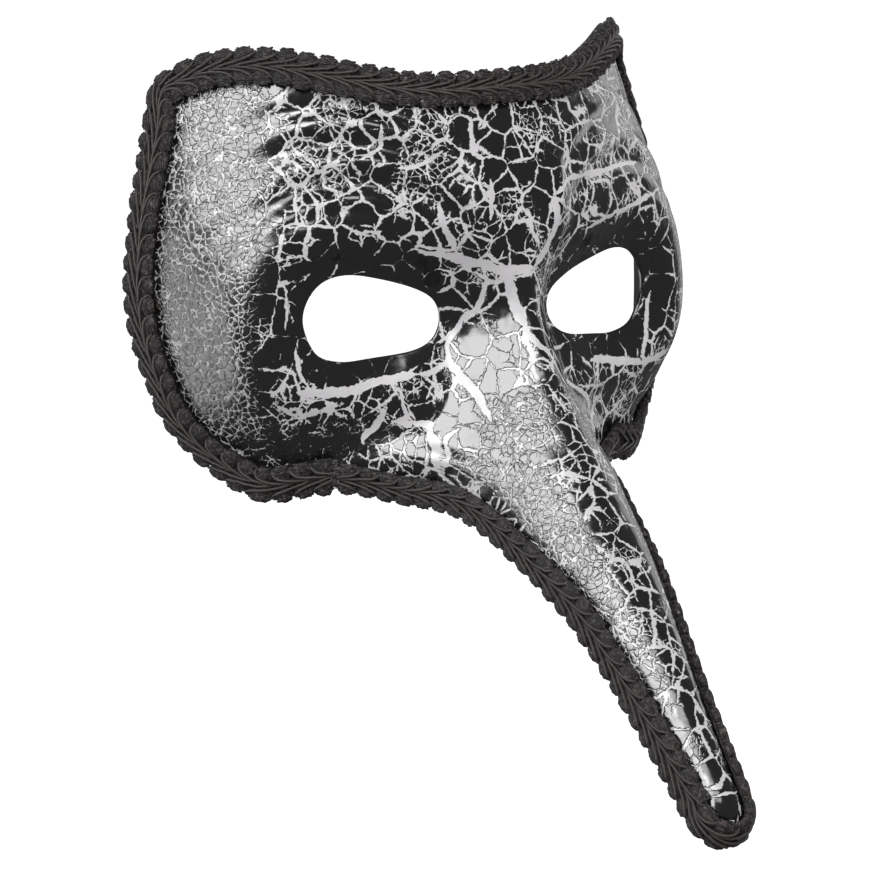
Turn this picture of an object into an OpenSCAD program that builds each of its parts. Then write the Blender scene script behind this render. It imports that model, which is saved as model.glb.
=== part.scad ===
// Long-nosed masquerade mask, drawn as it is worn.
// Origin midway between the two eye openings. +X to the right of someone
// facing the mask, -Y the way the nose points, +Z up. All sizes in mm.

/* [Face] */
// Width across the two temple edges of the shell
face_w = 149; // [134:1:166]
// Height of the shell from the brow corners' crest to the nose tip
face_h = 174; // [156:1:192]
// Depth of the shell from the temple edges to the nose tip
face_d = 140; // [125:1:155]
// Wall of the moulded shell
shell_t = 1.6; // [1.2:0.1:2.4]
// Strength of the relief: eye sockets' crests, brow furrows and frown ridges
relief_h = 1.0; // [0:0.1:1.5]

/* [Braid trim] */
// How far the braid's scallops stand out past the shell's edge
braid_out = 1.5; // [0.5:0.1:2.5]
// How far the braid reaches in from the shell's edge
braid_in = 8.2; // [6:0.1:9]
// Width of the braid round the nose, as a share of the face braid's
nose_braid_k = 0.8; // [0.7:0.05:1]
// Pitch of the braid's scallops
lobe_pitch = 4.8; // [4:0.1:6]
// Height of the plump loops over the shell
loop_h = 2.9; // [2:0.1:3.5]
// Width of each smooth cord in the braid's spine
cord_w = 1.0; // [0.8:0.1:1.2]
// Thickness of the glue line under the braid
glue_t = 0.35; // [0.2:0.05:0.5]

/* [Strap eyelets] */
// Radius of the eyelet's bore
bore_r = 1.7; // [1.2:0.1:2]
// Wall of the eyelet's barrel
barrel_t = 0.7; // [0.5:0.1:1]
// Radius of the eyelet's flange
flange_r = 3.8; // [3.4:0.1:4.2]
// Thickness of the flange
flange_t = 0.7; // [0.5:0.1:1]
// Distance of the eyelet's axis from the temple edge
eyelet_in = 5.2; // [4.6:0.1:6]

/* [Show] */
// Node to draw

/* [Hidden] */
$fn = 48;
black = [0.10, 0.10, 0.11];
yarn = [0.16, 0.14, 0.14];
cord = [0.22, 0.19, 0.18];
glue = [0.85, 0.84, 0.78];
brass = [0.30, 0.27, 0.22];
kx = face_w / 149;
ky = face_d / 140;
kz = face_h / 174;
glue_gap = 0.15;
cord_gap = 0.1;

// ---- the shell's surface -------------------------------------------------
// Half of the shell is a cage of rows, brow to nose tip. Each row runs from
// the middle line of the face out to the shell's edge.

// Direction of the nose, and the direction from its ridge to its open side
nose_ax = [0, -0.602, -0.798];
nose_dn = [0, 0.798, -0.602];
arch = [0, 20, 40, 57, 70, 80, 86, 90];

// One arched section across the nose: ridge point, half width and depth
function nose_row(y, z, w, h) =
    let (c = [0, y, z] + nose_dn * h)
    [for (t = arch) c + [w * sin(t), 0, 0] - nose_dn * (h * cos(t))];

// Rounded end of the nose: k from 0 at the last arch to 1 at the rim
function cap_row(y, z, w, h, l, k) =
    let (c = [0, y, z] + nose_dn * h)
    [for (t = arch)
        let (q = [sin(t) * cos(45 * k), cos(t) * cos(90 * k), sin(k * (90 - t / 2))],
            r = q / norm(q))
        c + [w * r[0], 0, 0] - nose_dn * (h * r[1]) + nose_ax * (l * r[2])];

cage0 = [
    [[0, -5, 55.5], [7, -4.6, 55.5], [15, -3, 55.5], [25, 1, 56.5],
        [37, 8.5, 59.4], [49, 19, 61.8], [57.8, 30.5, 59.8], [65.5, 41, 53.6]],
    [[0, -13, 40], [7, -12.5, 40], [15, -10.5, 40], [25, -6, 40.5],
        [39, 2.5, 41.5], [53, 14, 42], [63, 26.5, 40.3], [69.5, 39.5, 38]],
    [[0, -18, 22], [7, -17, 22], [14, -14, 22], [22, -9, 22],
        [38, -2, 23], [56.4, 6.5, 23], [68, 20.5, 21], [73.5, 38.2, 19.9]],
    [[0, -19.3, 4], [6, -15.5, 2.5], [11, -9.5, 1.5], [16.5, -4, 1],
        [34, 0.5, 1], [59.8, 5.5, 1], [68.4, 17.5, 1], [74.6, 37.8, 1.9]],
    [[0, -26, -10], [6, -22.5, -12], [11.5, -16, -14], [18, -7, -13.5],
        [34, 0, -12.5], [58.9, 5.5, -14], [67, 17.7, -14.5], [72.3, 34.7, -13.2]],
    [[0, -31, -17], [6.3, -28, -19], [12.5, -20.5, -21.5], [19.3, -9.5, -22],
        [34, -0.5, -21.5], [54.2, 6.5, -25], [62.2, 18, -27.5], [67, 29.1, -28.5]],
    [[0, -35, -22], [6.7, -32, -24], [13, -24.5, -26], [20, -11.5, -26],
        [32, -1.5, -26], [44, 4.5, -30.5], [50, 10.5, -36.5], [54.6, 16.2, -42.3]],
    [[0, -39, -27], [7, -36, -29], [13.5, -28, -30.5], [20, -14.5, -29.5],
        [27, -6, -29.5], [33, -1.5, -31.5], [37.5, 1.5, -35.5], [39.5, 4.5, -40.5]],
    [[0, -43.5, -32.5], [7, -41, -34], [13, -34.5, -35.5], [17.5, -26, -35],
        [20.5, -20, -34.5], [23, -15, -35.5], [25.5, -10.5, -38.5], [27.5, -7, -43.3]],
    [[0, -49, -39], [5.8, -47.3, -40], [10.8, -43, -41.7], [14, -38, -42.3],
        [16, -33.7, -42], [17.5, -30, -41.5], [19, -26.3, -42], [20.5, -22.5, -45.5]],
    [[0, -56, -47.5], [5, -55, -48.2], [9.3, -52.5, -50.2], [12.2, -49.5, -52.3],
        [13.6, -46.8, -53.3], [14.5, -44.5, -53.8], [15, -42.3, -54.3], [15.5, -40, -55.5]],
    nose_row(-64, -57.5, 11.9, 13.3),
    nose_row(-72.3, -67.9, 9.9, 11.8),
    nose_row(-81, -79.3, 8.1, 10.4),
    nose_row(-90.3, -91.9, 6.9, 8.7),
    nose_row(-97.8, -101.7, 6.1, 7.8),
    cap_row(-97.8, -101.7, 6.1, 7.8, 7, 0.4),
    cap_row(-97.8, -101.7, 6.1, 7.8, 7, 0.75),
    cap_row(-97.8, -101.7, 6.1, 7.8, 7, 1)
];
cage = [for (r = cage0) [for (p = r) [p[0] * kx, p[1] * ky, p[2] * kz]]];
nr = len(cage);
nc = len(arch);
// The first and last arched rows of the nose's end
row_cap = nr - 4;

// The cage with a mirrored column past the middle line and one past each edge
wide = [for (r = cage)
    concat([[-r[1][0], r[1][1], r[1][2]]], r, [2 * r[nc - 1] - r[nc - 2]])];
ext = concat([2 * wide[0] - wide[1]], wide, [2 * wide[nr - 1] - wide[nr - 2]]);

// Smooth blend of four neighbours
function blend(t) = [
    (-t + 2 * t * t - t * t * t) / 2,
    (2 - 5 * t * t + 3 * t * t * t) / 2,
    (t + 4 * t * t - 3 * t * t * t) / 2,
    (-t * t + t * t * t) / 2
];

// Point on the bare surface: u from the middle line out, v from the brow down
function half(u, v) =
    let (i = min(max(floor(v), 0), nr - 2),
        j = min(max(floor(u), 0), nc - 2),
        a = blend(u - j),
        b = blend(v - i))
    b * [for (m = [0:3]) a * [for (n = [0:3]) ext[i + m][j + n]]];

function side(p, s) = [s * p[0], p[1], p[2]];
function surf(u, v) = u < 0 ? side(half(-u, v), -1) : half(u, v);
function along_u(u, v) = (surf(u + 0.02, v) - surf(u - 0.02, v)) / 0.04;
function along_v(u, v) = (surf(u, v + 0.02) - surf(u, v - 0.02)) / 0.04;

// Outward direction, taken a little inside the edges
function out_dir(u, v) =
    let (m = nc - 1.15,
        uu = min(max(u, -m), m),
        vv = min(max(v, 0.1), nr - 1.2),
        n = cross(along_v(uu, vv), along_u(uu, vv)))
    n / norm(n);

// Relief of the face: each eye lies in a shallow socket with a raised crest,
// furrows follow the crest up the forehead and a frown ridge stands by the nose
function hump(x) = exp(-x * x);
function ramp(x) = let (t = min(max(x, 0), 1)) t * t * (3 - 2 * t);
function relief(p) =
    let (x = abs(p[0] / kx),
        z = p[2] / kz,
        r = pow(pow(abs(x - 36.5) / 24, 2.4) + pow(abs(z - 1) / 19.5, 2.4), 1 / 2.4),
        crest = ramp((r - 0.52) / 0.48) * ramp((1.45 - r) / 0.4) * ramp((x - 14) / 12),
        up = z + (x - 38) * (x - 38) / 60,
        brow = ramp((up - 24) / 4) * ramp((54 - up) / 4) * hump((x - 38) / 20),
        frown = hump((x - 11) / 3) * hump((z - 28) / 9))
    relief_h * (1.9 * crest + 0.6 * brow * cos(360 * (up - 37) / 8.8) + 1.1 * frown);

function outer_pt(u, v) = let (p = surf(u, v)) p + out_dir(u, v) * relief(p);
function inner_pt(u, v) = let (p = surf(u, v)) p + out_dir(u, v) * (relief(p) - shell_t);

// Grid lines: how many steps are taken between neighbouring columns and rows
steps_u = [2, 2, 2, 5, 7, 4, 5];
steps_v = [4, 4, 4, 4, 3, 3, 3, 3, 3, 3, 3, 2, 2, 2, 2, 1, 1, 1];
half_u = [for (j = [0:nc - 2]) for (k = [1:steps_u[j]]) j + k / steps_u[j]];
n_half = len(half_u);
grid_u = [for (k = [-n_half:n_half]) k == 0 ? 0 : sign(k) * half_u[abs(k) - 1]];
grid_v = concat([0], [for (i = [0:nr - 2]) for (k = [1:steps_v[i]]) i + k / steps_v[i]]);

module shell_skin() {
    w = len(grid_u);
    h = len(grid_v);
    n = w * h;
    outer = [for (v = grid_v) for (u = grid_u) outer_pt(u, v)];
    inner = [for (v = grid_v) for (u = grid_u) inner_pt(u, v)];
    quads_out = [for (i = [0:h - 2]) for (j = [0:w - 2])
        let (a = i * w + j) each [[a, a + 1, a + w + 1], [a, a + w + 1, a + w]]];
    quads_in = [for (f = quads_out) [f[2] + n, f[1] + n, f[0] + n]];
    loop = concat(
        [for (j = [0:w - 1]) j],
        [for (i = [1:h - 1]) i * w + w - 1],
        [for (j = [w - 2:-1:0]) (h - 1) * w + j],
        [for (i = [h - 2:-1:1]) i * w]);
    m = len(loop);
    rim = [for (k = [0:m - 1])
        let (a = loop[k], b = loop[(k + 1) % m])
        each [[b, a, a + n], [b, a + n, b + n]]];
    polyhedron(concat(outer, inner), concat(quads_out, quads_in, rim));
}

// Eye opening: big round outer end, narrowing to the inner corner
eye_pts = [
    [49.9, -1], [48.8, 5], [45, 9.3], [39, 10.7], [31, 9.3], [22, 6.4], [16.8, 3],
    [15.4, -1.6], [17.6, -6.2], [23, -8.9], [32, -10.3], [40, -10.8], [46.5, -8.3]
];
ne = len(eye_pts);
function eye_at(k, t) =
    blend(t) * [for (m = [-1:2]) eye_pts[(k + m + ne) % ne]];
eye_line = [for (k = [0:ne - 1]) for (t = [0, 0.33, 0.67])
    let (p = eye_at(k, t)) [p[0] * kx, p[1] * kz]];

module eye_cut() {
    translate([0, 20, 0])
        rotate([90, 0, 0])
            linear_extrude(height = 40)
                polygon(eye_line);
}

// ---- the band along the shell's edge ------------------------------------
// A rib is three points across the band, 0, 4 and 8 mm in from the edge.

function walk_in(u, v, t, s, n) =
    n == 0 ? surf(u, v) :
    let (um = min(u, nc - 1.03),
        su = along_u(um, v),
        sv = along_v(um, v),
        k = (su * t) / (sv * t),
        l = norm(k * sv - su))
    walk_in(u - s / l, v + k * s / l, t, s, n - 1);

function walk_down(u, v, t, s, n) =
    n == 0 ? surf(u, v) :
    let (vm = max(v, 0.03),
        su = along_u(u, vm),
        sv = along_v(u, vm),
        k = (sv * t) / (su * t),
        l = norm(sv - k * su))
    walk_down(u - k * s / l, v + s / l, t, s, n - 1);

edge = nc - 1;
function side_rib(v, k = 1) =
    let (t = along_v(edge - 0.03, v) / norm(along_v(edge - 0.03, v)))
    [surf(edge, v), walk_in(edge, v, t, k, 4), walk_in(edge, v, t, k, 8)];
function brow_rib(u) =
    let (t = along_u(u, 0.03) / norm(along_u(u, 0.03)))
    [surf(u, 0), walk_down(u, 0, t, 1, 4), walk_down(u, 0, t, 1, 8)];

// Rib on the diagonal of the brow corner
corner_u = norm(along_u(edge - 0.1, 0.1));
corner_v = norm(along_v(edge - 0.1, 0.1));
function corner_at(d) = surf(edge - d / corner_u, d / corner_v);
corner_rib = [corner_at(0.6), corner_at(4), corner_at(8)];

// Ribs round the nose's end: a from 90 at the side to 0 at the front
cap_w = 6.1;
cap_h = 7.8;
cap_len = 7;
cap_c = [0, -97.8 * ky, -101.7 * kz] + nose_dn * cap_h;
function cap_at(a, e) =
    cap_c + [cap_w * sin(a) * cos(e) * kx, 0, 0]
        - nose_dn * (cap_h * sin(e))
        + nose_ax * (cap_len * cos(a) * cos(e));
function cap_rib(a) =
    [cap_at(a, 0), cap_at(a, 30 * nose_braid_k), cap_at(a, 60 * nose_braid_k)];

function flip(ribs) = [for (k = [len(ribs) - 1:-1:0]) [for (p = ribs[k]) side(p, -1)]];

// Row where the cheek's edge meets the nose's edge, in a shallow notch
notch_v = 7;
face_half = concat(
    [for (v = [notch_v - 0.03:-0.3:0.6]) side_rib(v)],
    [corner_rib],
    [for (u = [6.3, 6, 5.6, 5.2, 4.8, 4.4, 4, 3.5, 3, 2.3, 1.5, 0.75]) brow_rib(u)]);
face_ribs = concat(face_half, [brow_rib(0.001)], flip(face_half));
nose_half = concat(
    [for (v = [notch_v + 0.03:0.3:row_cap]) side_rib(v, nose_braid_k)],
    [for (a = [90, 70, 50, 32, 16]) cap_rib(a)]);
nose_ribs = concat(nose_half, [cap_rib(0)], flip(nose_half));

// Smooth value between ribs: s counts ribs, d is the distance in from the edge
function rib_mix(r, s, c) =
    let (n = len(r),
        i = min(max(floor(s), 0), n - 2),
        p0 = i > 0 ? r[i - 1][c] : 2 * r[0][c] - r[1][c],
        p3 = i < n - 2 ? r[i + 2][c] : 2 * r[n - 1][c] - r[n - 2][c])
    blend(s - i) * [p0, r[i][c], r[i + 1][c], p3];
function across(a, b, c, d) =
    let (t = d / 4)
    a * ((t - 1) * (t - 2) / 2) + b * (t * (2 - t)) + c * (t * (t - 1) / 2);
function on_band(r, s, d) = across(rib_mix(r, s, 0), rib_mix(r, s, 1), rib_mix(r, s, 2), d);

// Outward direction of the band; sg is +1 or -1 by the way the ribs run
function band_dir(r, s, d) =
    let (ds = on_band(r, s + 0.05, d) - on_band(r, s - 0.05, d),
        dd = on_band(r, s, d + 0.1) - on_band(r, s, d - 0.1),
        n = cross(ds, dd))
    n / norm(n);

// Running length of the band's middle line, and the way back from it
mid_d = 3.4;
function lengths(r, k, sum) =
    k >= len(r) - 1 ? [sum] :
    concat([sum], lengths(r, k + 1,
        sum + norm(on_band(r, k + 0.5, mid_d) - on_band(r, k, mid_d))
            + norm(on_band(r, k + 1, mid_d) - on_band(r, k + 0.5, mid_d))));
function find(l, x, k) = k >= len(l) - 2 || x < l[k + 1] ? k : find(l, x, k + 1);
function station(l, x) =
    let (k = find(l, x, 0)) k + (x - l[k]) / (l[k + 1] - l[k]);

face_len = lengths(face_ribs, 0, 0);
nose_len = lengths(nose_ribs, 0, 0);

// A strand lies between distances da and db at every ring, ha to hb high.
// It is one closed skin through rings of n sides.
module strand(r, l, sg, per, n, shape) {
    total = l[len(l) - 1];
    lobes = floor(total / lobe_pitch);
    rings = [for (k = [0:lobes * per])
        let (s = station(l, total * k / (lobes * per)),
            q = shape[k % per],
            c = (q[0] + q[1]) / 2,
            w = (q[1] - q[0]) / 2,
            m = (q[2] + q[3]) / 2,
            h = (q[3] - q[2]) / 2,
            o = sg * band_dir(r, s, c))
        [for (i = [0:n - 1])
            let (a = 360 * i / n)
            on_band(r, s, c + w * cos(a)) + o * (m + h * sin(a))]];
    skin(rings, n, sg);
}

module skin(rings, n, sg) {
    m = len(rings);
    walls = [for (k = [0:m - 2]) for (i = [0:n - 1])
        let (a = k * n + i, b = k * n + (i + 1) % n)
        each [[a, b, b + n], [a, b + n, a + n]]];
    ends = [[for (i = [n - 1:-1:0]) i], [for (i = [0:n - 1]) (m - 1) * n + i]];
    all = concat(walls, ends);
    polyhedron(
        [for (g = rings) each g],
        sg > 0 ? all : [for (f = all) [for (i = [len(f) - 1:-1:0]) f[i]]]);
}

loop_lo = glue_gap + glue_t + cord_gap;
spine_d = 2.4;
outer_loops = [
    [-braid_out * 0.1, spine_d, loop_lo, loop_h * 0.72],
    [-braid_out, spine_d, loop_lo, loop_h],
    [-braid_out, spine_d, loop_lo, loop_h]
];
inner_d = spine_d + 2 * cord_w + 3 * cord_gap;
inner_loops = [
    [inner_d, braid_in - 1.4, loop_lo, loop_h * 0.72],
    [inner_d, braid_in, loop_lo, loop_h],
    [inner_d, braid_in, loop_lo, loop_h]
];
spine_outer = [[spine_d + cord_gap, spine_d + cord_gap + cord_w, loop_lo, loop_h * 0.85]];
spine_inner = [[inner_d - cord_gap - cord_w, inner_d - cord_gap, loop_lo, loop_h * 0.85]];
glue_line = [[0.5, braid_in - 0.8, glue_gap, glue_gap + glue_t]];

// ---- strap eyelets --------------------------------------------------------
eye_row = 3;
eyelet_t = along_v(edge - 0.03, eye_row) / norm(along_v(edge - 0.03, eye_row));
eyelet_p = walk_in(edge, eye_row, eyelet_t, eyelet_in / 6, 6);
eyelet_n = out_dir(edge - 0.2, eye_row);

module at_eyelet() {
    translate(eyelet_p)
        rotate([0, acos(eyelet_n[2]), atan2(eyelet_n[1], eyelet_n[0])])
            children();
}

// Barrel through the wall, flange on the wearer's side
module eyelet() {
    at_eyelet()
        rotate_extrude()
            polygon([
                [bore_r, -shell_t - 0.1 - flange_t],
                [flange_r, -shell_t - 0.1 - flange_t],
                [flange_r, -shell_t - 0.1],
                [bore_r + barrel_t, -shell_t - 0.1],
                [bore_r + barrel_t, 0],
                [bore_r, 0]
            ]);
}

module eyelet_hole() {
    at_eyelet()
        translate([0, 0, -6])
            cylinder(h = 12, r = bore_r + barrel_t + 0.05);
}

// ---- nodes -----------------------------------------------------------------
module shell() {
    color(black)
        difference() {
            shell_skin();
            eye_cut();
            mirror([1, 0, 0]) eye_cut();
            eyelet_hole();
            mirror([1, 0, 0]) eyelet_hole();
        }
}

module strap_eyelet_right() {
    color(brass) eyelet();
}

module strap_eyelet_left() {
    color(brass) mirror([1, 0, 0]) eyelet();
}

module face_braid_outer_loops() {
    color(yarn) strand(face_ribs, face_len, 1, 3, 5, outer_loops);
}

module face_braid_inner_loops() {
    color(yarn) strand(face_ribs, face_len, 1, 3, 5, inner_loops);
}

module face_braid_spine_outer() {
    color(cord) strand(face_ribs, face_len, 1, 1, 5, spine_outer);
}

module face_braid_spine_inner() {
    color(cord) strand(face_ribs, face_len, 1, 1, 5, spine_inner);
}

module face_braid_glue() {
    color(glue) strand(face_ribs, face_len, 1, 1, 4, glue_line);
}

module nose_braid_outer_loops() {
    color(yarn) strand(nose_ribs, nose_len, -1, 3, 5, outer_loops);
}

module nose_braid_inner_loops() {
    color(yarn) strand(nose_ribs, nose_len, -1, 3, 5, inner_loops);
}

module nose_braid_spine_outer() {
    color(cord) strand(nose_ribs, nose_len, -1, 1, 5, spine_outer);
}

module nose_braid_spine_inner() {
    color(cord) strand(nose_ribs, nose_len, -1, 1, 5, spine_inner);
}

module nose_braid_glue() {
    color(glue) strand(nose_ribs, nose_len, -1, 1, 4, glue_line);
}

shell();
strap_eyelet_left();
strap_eyelet_right();
face_braid_outer_loops();
face_braid_inner_loops();
face_braid_spine_outer();
face_braid_spine_inner();
face_braid_glue();
nose_braid_outer_loops();
nose_braid_inner_loops();
nose_braid_spine_outer();
nose_braid_spine_inner();
nose_braid_glue();
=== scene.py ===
"""Looks of a long-nosed masquerade mask: a moulded shell with a black crackle
lacquer over off-white, and gimp braid glued along its edge.

Lengths are millimetres until a mesh is made; the scene is in metres.
"""

import math

import bpy
import numpy as np
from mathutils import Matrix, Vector, kdtree, noise


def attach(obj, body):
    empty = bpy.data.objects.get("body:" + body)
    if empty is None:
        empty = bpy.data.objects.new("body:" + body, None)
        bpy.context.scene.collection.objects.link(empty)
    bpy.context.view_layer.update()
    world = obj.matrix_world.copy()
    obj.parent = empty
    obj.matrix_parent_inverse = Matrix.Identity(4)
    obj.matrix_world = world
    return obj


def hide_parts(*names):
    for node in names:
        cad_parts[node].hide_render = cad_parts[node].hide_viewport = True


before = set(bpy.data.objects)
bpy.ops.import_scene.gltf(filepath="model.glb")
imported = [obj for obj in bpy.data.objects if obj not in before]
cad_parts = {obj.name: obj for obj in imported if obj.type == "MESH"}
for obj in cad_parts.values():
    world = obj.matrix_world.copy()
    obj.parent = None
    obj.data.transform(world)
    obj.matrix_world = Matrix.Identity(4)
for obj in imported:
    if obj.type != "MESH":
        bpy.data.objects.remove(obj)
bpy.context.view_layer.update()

MM = 0.001
ROOT = "root"


# ---- sizes in mm, as in the CAD part ----
SHELL_T = 1.6
RELIEF_H = 1.0
LOBE_PITCH = 4.8
NOSE_BRAID_K = 0.8  # width of the nose's braid, as a share of the face's
BRAID_OUT = 1.5  # how far the face's braid reaches past the edge
BRAID_IN = 8.2  # and how far in from it
RIB_D = 4.0  # the ribs under the braid have points at 0, 4 and 8 in from the edge
STRAP_BORE_R = 1.7
STRAP_HOLE_R = 2.45
EYELET_IN = 5.2
EYELET_ROW = 3.0
NOTCH_V = 7.0  # the row of the cage where the face's braid ends and the nose's begins

# ---- sizes in mm that only the looks have ----
LIP_W = 0.5  # how far the rounded edge of the shell bulges
CORD_R = 0.33
THREAD_R = 0.22
FIBRE_R = 0.07
FIBRES = 22

# The shell's cage. Rows go from the brow down to the tip, points from the middle line out.
NOSE_AX = np.array([0, -0.602, -0.798])  # along the nose to its tip
NOSE_DN = np.array([0, 0.798, -0.602])  # square to that, towards its open side
ARCH = np.radians([0, 20, 40, 57, 70, 80, 86, 90])
FACE_ROWS = [
    [[0, -5, 55.5], [7, -4.6, 55.5], [15, -3, 55.5], [25, 1, 56.5],
     [37, 8.5, 59.4], [49, 19, 61.8], [57.8, 30.5, 59.8], [65.5, 41, 53.6]],
    [[0, -13, 40], [7, -12.5, 40], [15, -10.5, 40], [25, -6, 40.5],
     [39, 2.5, 41.5], [53, 14, 42], [63, 26.5, 40.3], [69.5, 39.5, 38]],
    [[0, -18, 22], [7, -17, 22], [14, -14, 22], [22, -9, 22],
     [38, -2, 23], [56.4, 6.5, 23], [68, 20.5, 21], [73.5, 38.2, 19.9]],
    [[0, -19.3, 4], [6, -15.5, 2.5], [11, -9.5, 1.5], [16.5, -4, 1],
     [34, 0.5, 1], [59.8, 5.5, 1], [68.4, 17.5, 1], [74.6, 37.8, 1.9]],
    [[0, -26, -10], [6, -22.5, -12], [11.5, -16, -14], [18, -7, -13.5],
     [34, 0, -12.5], [58.9, 5.5, -14], [67, 17.7, -14.5], [72.3, 34.7, -13.2]],
    [[0, -31, -17], [6.3, -28, -19], [12.5, -20.5, -21.5], [19.3, -9.5, -22],
     [34, -0.5, -21.5], [54.2, 6.5, -25], [62.2, 18, -27.5], [67, 29.1, -28.5]],
    [[0, -35, -22], [6.7, -32, -24], [13, -24.5, -26], [20, -11.5, -26],
     [32, -1.5, -26], [44, 4.5, -30.5], [50, 10.5, -36.5], [54.6, 16.2, -42.3]],
    [[0, -39, -27], [7, -36, -29], [13.5, -28, -30.5], [20, -14.5, -29.5],
     [27, -6, -29.5], [33, -1.5, -31.5], [37.5, 1.5, -35.5], [39.5, 4.5, -40.5]],
    [[0, -43.5, -32.5], [7, -41, -34], [13, -34.5, -35.5], [17.5, -26, -35],
     [20.5, -20, -34.5], [23, -15, -35.5], [25.5, -10.5, -38.5], [27.5, -7, -43.3]],
    [[0, -49, -39], [5.8, -47.3, -40], [10.8, -43, -41.7], [14, -38, -42.3],
     [16, -33.7, -42], [17.5, -30, -41.5], [19, -26.3, -42], [20.5, -22.5, -45.5]],
    [[0, -56, -47.5], [5, -55, -48.2], [9.3, -52.5, -50.2], [12.2, -49.5, -52.3],
     [13.6, -46.8, -53.3], [14.5, -44.5, -53.8], [15, -42.3, -54.3], [15.5, -40, -55.5]],
]
# y and z of the ridge, half width and height of the section
NOSE_ROWS = [
    (-64, -57.5, 11.9, 13.3),
    (-72.3, -67.9, 9.9, 11.8),
    (-81, -79.3, 8.1, 10.4),
    (-90.3, -91.9, 6.9, 8.7),
    (-97.8, -101.7, 6.1, 7.8),
]
CAP_LEN = 7.0
CAP_STEPS = (0.4, 0.75, 1.0)


# ---- the shell's surface ----
def nose_row(y, z, w, h):
    c = np.array([0, y, z]) + NOSE_DN * h
    return [c + [w * math.sin(t), 0, 0] - NOSE_DN * h * math.cos(t) for t in ARCH]


def cap_row(y, z, w, h, k):
    c = np.array([0, y, z]) + NOSE_DN * h
    row = []
    for t in ARCH:
        q = np.array([
            math.sin(t) * math.cos(math.pi / 4 * k),
            math.cos(t) * math.cos(math.pi / 2 * k),
            math.sin(k * (math.pi / 2 - t / 2)),
        ])
        r = q / np.linalg.norm(q)
        row.append(c + [w * r[0], 0, 0] - NOSE_DN * h * r[1] + NOSE_AX * CAP_LEN * r[2])
    return row


def extend(p):
    """One more entry before and after a run, straight on."""
    return np.concatenate([2 * p[:1] - p[1:2], p, 2 * p[-1:] - p[-2:-1]])


def make_cage():
    rows = [np.array(r, float) for r in FACE_ROWS]
    rows += [np.array(nose_row(*r)) for r in NOSE_ROWS]
    rows += [np.array(cap_row(*NOSE_ROWS[-1], k)) for k in CAP_STEPS]
    half_net = np.array(rows)
    mirror = half_net[:, 1:2] * np.array([-1, 1, 1])
    wide = np.concatenate([mirror, half_net, 2 * half_net[:, -1:] - half_net[:, -2:-1]], 1)
    return extend(wide)


EXT = make_cage()
NR = EXT.shape[0] - 2
NC = EXT.shape[1] - 2
EDGE = NC - 1.0
ROW_CAP = NR - 4


def four(t):
    """Weights of a smooth curve through four neighbours."""
    return [
        (-t + 2 * t * t - t**3) / 2,
        (2 - 5 * t * t + 3 * t**3) / 2,
        (t + 4 * t * t - 3 * t**3) / 2,
        (-t * t + t**3) / 2,
    ]


def surf(u, v):
    """Bare surface: u from the middle line out (minus on the left), v from the brow down, both
    counted in columns and rows of the cage."""
    u, v = np.broadcast_arrays(np.asarray(u, float), np.asarray(v, float))
    a = np.abs(u)
    i = np.clip(np.floor(v).astype(int), 0, NR - 2)
    j = np.clip(np.floor(a).astype(int), 0, NC - 2)
    wv = four((v - i)[..., None])
    wu = four((a - j)[..., None])
    p = sum(wv[m] * wu[n] * EXT[i + m, j + n] for m in range(4) for n in range(4))
    return p * np.stack([np.where(u < 0, -1.0, 1.0), np.ones_like(a), np.ones_like(a)], -1)


def unit(a):
    return a / np.maximum(np.linalg.norm(a, axis=-1, keepdims=True), 1e-12)


def out_dir(u, v):
    """Outward direction, taken a little inside the edges."""
    h = 0.01
    m = EDGE - 0.15
    u = np.clip(u, -m, m)
    v = np.clip(v, 0.1, NR - 1.2)
    across_u = surf(u + h, v) - surf(u - h, v)
    across_v = surf(u, v + h) - surf(u, v - h)
    return unit(np.cross(across_v, across_u))


NEAR_EDGE = 0.03  # slopes at an edge are taken this far in from it
NUDGE = 0.02


def slopes(u, v, h=NUDGE):
    """How the surface runs with u and with v."""
    across = surf(u + h, v) - surf(u - h, v)
    return across / (2 * h), (surf(u, v + h) - surf(u, v - h)) / (2 * h)


def hump(x):
    return np.exp(-x * x)


def ramp(x):
    t = np.clip(x, 0, 1)
    return t * t * (3 - 2 * t)


def socket_radius(p):
    """1 on the middle of the raised crest round each eye."""
    x, z = np.abs(p[..., 0]), p[..., 2]
    return ((np.abs(x - 36.5) / 24) ** 2.4 + (np.abs(z - 1) / 19.5) ** 2.4) ** (1 / 2.4)


def relief(p):
    """Sockets' crests, brow furrows and frown ridges."""
    x, z = np.abs(p[..., 0]), p[..., 2]
    r = socket_radius(p)
    crest = ramp((r - 0.52) / 0.48) * ramp((1.45 - r) / 0.4) * ramp((x - 14) / 12)
    up = z + (x - 38) ** 2 / 60
    brow = ramp((up - 24) / 4) * ramp((54 - up) / 4) * hump((x - 38) / 20)
    frown = hump((x - 11) / 3) * hump((z - 28) / 9)
    waves = np.cos(2 * math.pi * (up - 37) / 8.8)
    return RELIEF_H * (1.9 * crest + 0.8 * brow * waves + 1.8 * frown)


def skins(u, v):
    """Outer point, inner point and outward direction."""
    p = surf(u, v)
    n = out_dir(u, v)
    h = relief(p)[..., None]
    return p + n * h, p + n * (h - SHELL_T), n


# ---- small mesh tools ----
def make_mesh(name, points, faces, smooth=True):
    """A piece from points in millimetres."""
    mesh = bpy.data.meshes.new(name)
    mesh.from_pydata((np.asarray(points) * MM).tolist(), [], faces)
    mesh.update()
    if smooth:
        mesh.shade_smooth()
    piece = bpy.data.objects.new(name, mesh)
    bpy.context.scene.collection.objects.link(piece)
    return piece


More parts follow.
